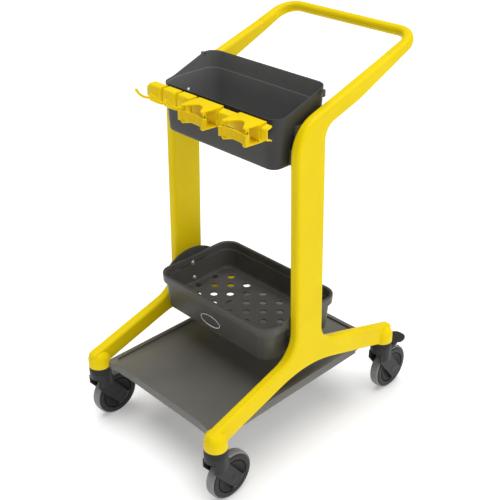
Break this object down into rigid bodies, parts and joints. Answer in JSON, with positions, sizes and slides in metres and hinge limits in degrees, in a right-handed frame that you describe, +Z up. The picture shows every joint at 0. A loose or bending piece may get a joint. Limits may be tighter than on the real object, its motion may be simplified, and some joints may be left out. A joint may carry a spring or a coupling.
{
  "type": "housekeeping cart",
  "caption": "Upright cleaning cart with moulded side frames, push handle, deep bin, perforated basket, bottom shelf, tool rail with hooks and handle grips, and swivel casters.",
  "frame": {"origin": "on the floor under the middle of the cart", "axes": "+Z up; the front (tool rail, badge) faces -Y; the push handle is at +Y; +X is the right-hand side of a person facing the front"},
  "size_m": [0.5414, 0.797, 1.0784],
  "materials": {
    "yellow_moulding": "satin moulded polypropylene",
    "dark_moulding": "fine-grained moulded polypropylene",
    "tyre_tread": "smooth grey thermoplastic rubber",
    "bolt_steel": "polished",
    "axle_steel": "zinc plated",
    "yellow_rubber": "ribbed",
    "grey_print": "plain printed outline"
  },
  "bodies": {
    "cart_body": {"right_side_frame": "yellow_moulding", "left_side_frame": "yellow_moulding", "push_handle": "yellow_moulding", "handle_screws": "bolt_steel", "upper_bin": "dark_moulding", "right_bin_bracket": "dark_moulding", "left_bin_bracket": "dark_moulding", "bin_bolts": "bolt_steel", "lower_basket": "dark_moulding", "basket_bolts": "bolt_steel", "badge_plate": "grey_print", "bottom_shelf": "dark_moulding", "shelf_screws": "bolt_steel", "tool_rail": "yellow_moulding", "rail_screws": "bolt_steel", "caster_stems": "axle_steel", "caster_caps": "dark_moulding"},
    "hook_1": {"hook_module_1": "yellow_moulding"},
    "hook_2": {"hook_module_2": "yellow_moulding"},
    "hook_3": {"hook_module_3": "yellow_moulding"},
    "grip_1": {"grip_module_1": "yellow_moulding", "grip_band_1": "yellow_rubber"},
    "grip_2": {"grip_module_2": "yellow_moulding", "grip_band_2": "yellow_rubber"},
    "front_left_swivel": {"front_left_caster_fork": "dark_moulding", "front_left_axle": "axle_steel"},
    "front_left_wheel": {"front_left_wheel_hub": "dark_moulding", "front_left_tyre": "tyre_tread"},
    "front_right_swivel": {"front_right_caster_fork": "dark_moulding", "front_right_axle": "axle_steel"},
    "front_right_wheel": {"front_right_wheel_hub": "dark_moulding", "front_right_tyre": "tyre_tread"},
    "rear_left_swivel": {"rear_left_caster_fork": "dark_moulding", "rear_left_axle": "axle_steel", "rear_left_pedal_pin": "axle_steel"},
    "rear_left_wheel": {"rear_left_wheel_hub": "dark_moulding", "rear_left_tyre": "tyre_tread"},
    "rear_left_pedal": {"rear_left_brake_pedal": "dark_moulding"},
    "rear_right_swivel": {"rear_right_caster_fork": "dark_moulding", "rear_right_axle": "axle_steel", "rear_right_pedal_pin": "axle_steel"},
    "rear_right_wheel": {"rear_right_wheel_hub": "dark_moulding", "rear_right_tyre": "tyre_tread"},
    "rear_right_pedal": {"rear_right_brake_pedal": "dark_moulding"}
  },
  "joints": [
    {"name": "hook_1_slide", "type": "slide", "parent": "cart_body", "child": "hook_1", "axis": [1, 0, 0], "range_m": [-0.0023, 0.0023]},
    {"name": "hook_2_slide", "type": "slide", "parent": "cart_body", "child": "hook_2", "axis": [1, 0, 0], "range_m": [-0.0023, 0.0023]},
    {"name": "hook_3_slide", "type": "slide", "parent": "cart_body", "child": "hook_3", "axis": [1, 0, 0], "range_m": [-0.0023, 0.0023]},
    {"name": "grip_1_slide", "type": "slide", "parent": "cart_body", "child": "grip_1", "axis": [1, 0, 0], "range_m": [-0.0032, 0.023]},
    {"name": "grip_2_slide", "type": "slide", "parent": "cart_body", "child": "grip_2", "axis": [1, 0, 0], "range_m": [-0.023, 0.015]},
    {"name": "front_left_swivel_turn", "type": "hinge", "parent": "cart_body", "child": "front_left_swivel", "pos_m": [-0.24, -0.36782, 0.15], "axis": [0, 0, 1], "continuous": true},
    {"name": "front_left_wheel_roll", "type": "hinge", "parent": "front_left_swivel", "child": "front_left_wheel", "pos_m": [-0.24, -0.32674, 0.06816], "axis": [1, 0, 0], "continuous": true},
    {"name": "front_right_swivel_turn", "type": "hinge", "parent": "cart_body", "child": "front_right_swivel", "pos_m": [0.24, -0.36782, 0.15], "axis": [0, 0, 1], "continuous": true},
    {"name": "front_right_wheel_roll", "type": "hinge", "parent": "front_right_swivel", "child": "front_right_wheel", "pos_m": [0.24, -0.32674, 0.06816], "axis": [1, 0, 0], "continuous": true},
    {"name": "rear_left_swivel_turn", "type": "hinge", "parent": "cart_body", "child": "rear_left_swivel", "pos_m": [-0.24, 0.2893, 0.15], "axis": [0, 0, 1], "continuous": true},
    {"name": "rear_left_wheel_roll", "type": "hinge", "parent": "rear_left_swivel", "child": "rear_left_wheel", "pos_m": [-0.24, 0.33038, 0.06816], "axis": [1, 0, 0], "continuous": true},
    {"name": "rear_left_brake_press", "type": "hinge", "parent": "rear_left_swivel", "child": "rear_left_pedal", "pos_m": [-0.24, 0.32962, 0.15504], "axis": [1, 0, 0], "range_deg": [-15, 0]},
    {"name": "rear_right_swivel_turn", "type": "hinge", "parent": "cart_body", "child": "rear_right_swivel", "pos_m": [0.24, 0.2893, 0.15], "axis": [0, 0, 1], "continuous": true},
    {"name": "rear_right_wheel_roll", "type": "hinge", "parent": "rear_right_swivel", "child": "rear_right_wheel", "pos_m": [0.24, 0.33038, 0.06816], "axis": [1, 0, 0], "continuous": true},
    {"name": "rear_right_brake_press", "type": "hinge", "parent": "rear_right_swivel", "child": "rear_right_pedal", "pos_m": [0.24, 0.32962, 0.15504], "axis": [1, 0, 0], "range_deg": [-15, 0]}
  ]
}
